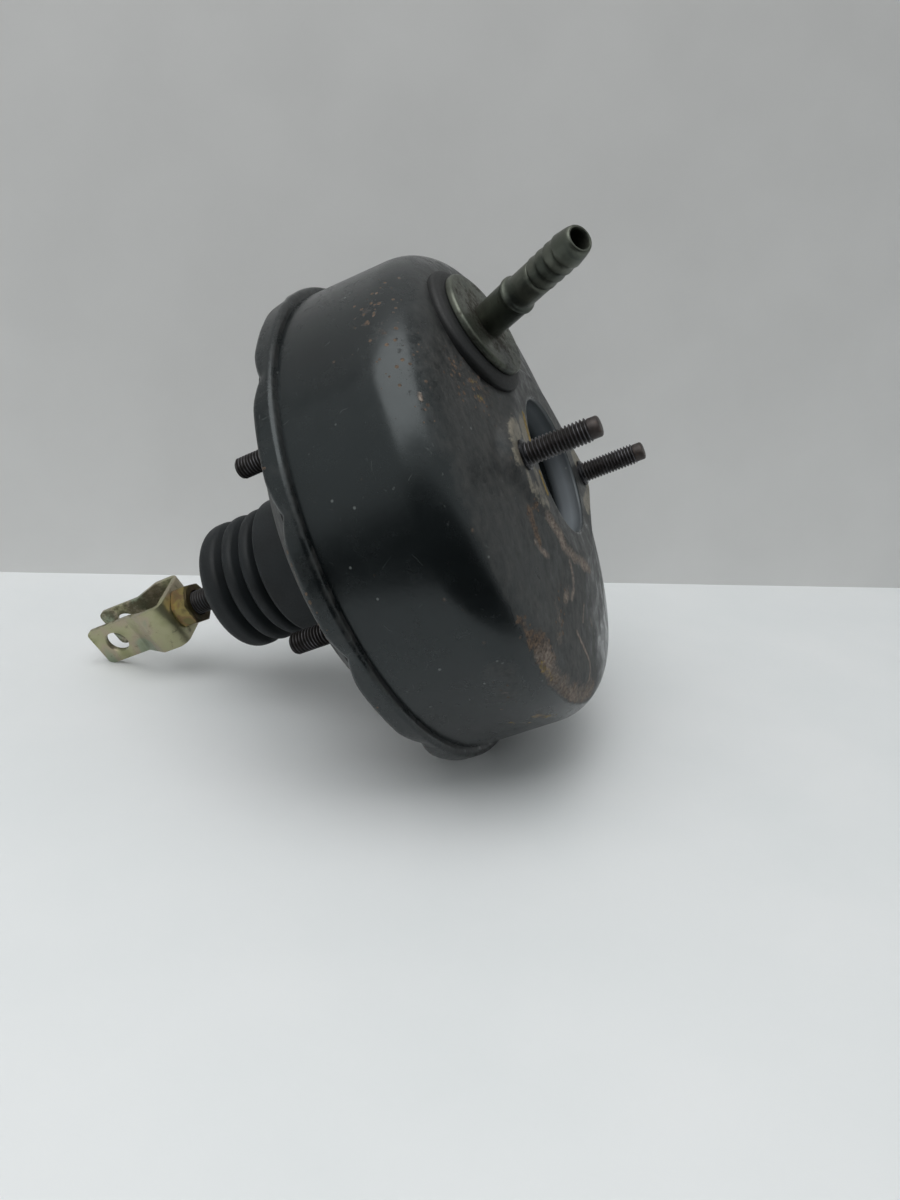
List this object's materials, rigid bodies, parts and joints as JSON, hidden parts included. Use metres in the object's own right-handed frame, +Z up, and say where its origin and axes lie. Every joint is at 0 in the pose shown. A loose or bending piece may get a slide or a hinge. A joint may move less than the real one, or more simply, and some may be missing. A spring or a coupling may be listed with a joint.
{
  "type": "vacuum brake booster",
  "caption": "Single-diaphragm vacuum brake booster with crimped steel shells, push rod with clevis, dust boot, hose nipple and studs for firewall and master cylinder.",
  "frame": {"origin": "centre of the four firewall studs, on the firewall face of the rear shell", "axes": "+X along the push rod's axis towards the master cylinder; +Z up; the two master cylinder studs stand side by side along Y"},
  "size_m": [0.2564, 0.184, 0.184],
  "materials": {
    "shell_paint": "black semi-gloss chassis paint over pressed steel, scuffed and rust specked",
    "bare_steel": "bare pressed steel",
    "stud_steel": "black oxide, rusty at the dog points",
    "olive_zinc": "olive grey passivated zinc",
    "yellow_zinc": "yellow passivated zinc",
    "gold_zinc": "gold passivated zinc",
    "rod_steel": "dark phosphated steel",
    "turned_steel": "turned steel",
    "spring_wire": "dark oiled spring wire",
    "moulded_rubber": "matt black rubber",
    "phenolic": "dark brown moulded phenolic",
    "bearing_nylon": "cream nylon",
    "filter_foam": "open cell foam",
    "felt": "grey felt"
  },
  "bodies": {
    "housing": {"front_shell": "shell_paint", "rear_shell": "shell_paint", "front_reinforcement": "bare_steel", "rear_reinforcement": "bare_steel", "master_cylinder_studs": "stud_steel", "firewall_studs": "stud_steel", "port_seal": "moulded_rubber", "vacuum_nipple": "olive_zinc", "front_seal": "moulded_rubber", "rear_bearing": "bearing_nylon", "rear_seal": "moulded_rubber", "dust_boot": "moulded_rubber", "diaphragm": "moulded_rubber", "return_spring": "spring_wire"},
    "piston": {"power_piston": "phenolic", "diaphragm_plate": "bare_steel", "valve_retainer": "bare_steel", "poppet_valve": "moulded_rubber", "poppet_spring": "spring_wire", "input_spring": "spring_wire", "air_filter": "filter_foam", "silencer_felt": "felt", "filter_keeper": "bare_steel", "reaction_disc": "moulded_rubber", "output_rod": "turned_steel", "output_screw": "turned_steel", "output_retainer": "bare_steel"},
    "plunger": {"valve_plunger": "turned_steel", "stop_key": "bare_steel"},
    "rod": {"input_rod": "rod_steel", "lock_nut": "gold_zinc", "clevis": "yellow_zinc"}
  },
  "joints": [
    {"name": "piston_slide", "type": "slide", "parent": "housing", "child": "piston", "axis": [1, 0, 0], "range_m": [0, 0.022], "stiffness_N_per_m": 800, "springref_m": -0.09, "deforming": ["return_spring", "diaphragm", "dust_boot"]},
    {"name": "plunger_slide", "type": "slide", "parent": "piston", "child": "plunger", "axis": [1, 0, 0], "range_m": [0, 0.0015], "stiffness_N_per_m": 2400, "springref_m": -0.005, "deforming": ["poppet_valve", "poppet_spring", "input_spring"]},
    {"name": "rod_swing", "type": "hinge", "parent": "plunger", "child": "rod", "pos_m": [-0.0165, 0, 0], "axis": [0, 0.809, 0.5878], "range_deg": [-2.5, 2.5], "stiffness_Nm_per_rad": 6}
  ]
}
